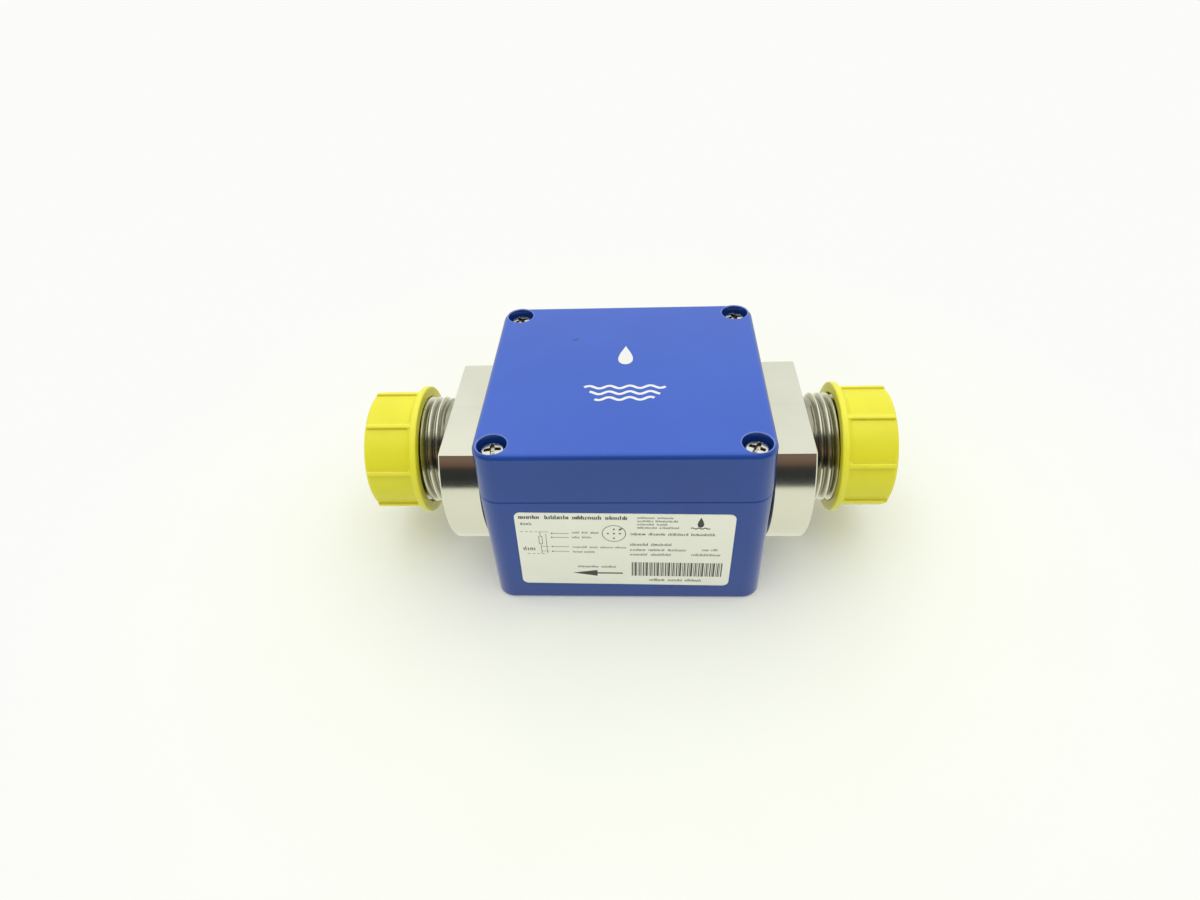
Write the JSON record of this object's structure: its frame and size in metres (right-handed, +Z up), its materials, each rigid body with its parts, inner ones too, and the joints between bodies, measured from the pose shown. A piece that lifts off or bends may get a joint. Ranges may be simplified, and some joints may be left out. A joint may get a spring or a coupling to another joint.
{
  "type": "electromagnetic flow meter",
  "caption": "In-line electromagnetic flow sensor: screwed die-cast box on a pipe section with flat-topped flanges, male pipe threads and ribbed protective caps.",
  "frame": {"origin": "centre of the box's underside, on the surface it stands on", "axes": "+X along the pipe towards the inlet, +Y towards the electrical receptacle (the label is on the -Y side), +Z up through the lid"},
  "size_m": [0.1564, 0.0876, 0.057],
  "materials": {
    "blue_paint": "gloss powder paint on die-cast aluminium",
    "stainless": "turned and milled stainless steel",
    "screw_steel": "bright plated",
    "yellow_plastic": "soft moulded plastic, semi-gloss",
    "black_rubber": "matt",
    "label_film": "white film with dark grey print",
    "tube_plastic": "machined",
    "magnet_iron": "turned, oiled",
    "zinc_steel": "zinc plated strip",
    "copper_winding": "enamelled wire",
    "white_plastic": "moulded",
    "board_green": "glass fibre board with solder mask",
    "black_plastic": "moulded",
    "capacitor_body": "dipped",
    "nickel_brass": "nickel plated",
    "gold_pins": "gold plated"
  },
  "bodies": {
    "root": {"housing_base": "blue_paint", "housing_lid": "blue_paint", "lid_gasket": "black_rubber", "lid_screws": "screw_steel", "rating_label": "label_film", "inlet_fitting": "stainless", "outlet_fitting": "stainless", "inlet_flange_gasket": "black_rubber", "outlet_flange_gasket": "black_rubber", "inlet_flange_screws": "screw_steel", "outlet_flange_screws": "screw_steel", "inlet_tube_seal": "black_rubber", "outlet_tube_seal": "black_rubber", "measuring_tube": "tube_plastic", "front_electrode": "stainless", "back_electrode": "stainless", "front_electrode_seal": "black_rubber", "back_electrode_seal": "black_rubber", "front_electrode_holder": "white_plastic", "back_electrode_holder": "white_plastic", "upper_pole": "magnet_iron", "lower_pole": "magnet_iron", "upper_bobbin": "black_plastic", "lower_bobbin": "black_plastic", "upper_coil": "copper_winding", "lower_coil": "copper_winding", "pole_screws": "screw_steel", "magnet_yoke": "zinc_steel", "circuit_board": "board_green", "board_spacers": "white_plastic", "board_screws": "screw_steel", "processor_chip": "black_plastic", "amplifier_chips": "black_plastic", "board_capacitors": "capacitor_body", "lead_header": "white_plastic", "connector_shell": "nickel_brass", "connector_insert": "black_plastic", "connector_pins": "gold_pins", "connector_nut": "nickel_brass", "connector_seal": "black_rubber"},
    "inlet_cap_body": {"inlet_cap": "yellow_plastic"},
    "outlet_cap_body": {"outlet_cap": "yellow_plastic"}
  },
  "joints": [
    {"name": "inlet_cap_pull", "type": "slide", "parent": "root", "child": "inlet_cap_body", "axis": [1, 0, 0], "range_m": [0, 0.06]},
    {"name": "outlet_cap_pull", "type": "slide", "parent": "root", "child": "outlet_cap_body", "axis": [-1, 0, 0], "range_m": [0, 0.06]}
  ]
}
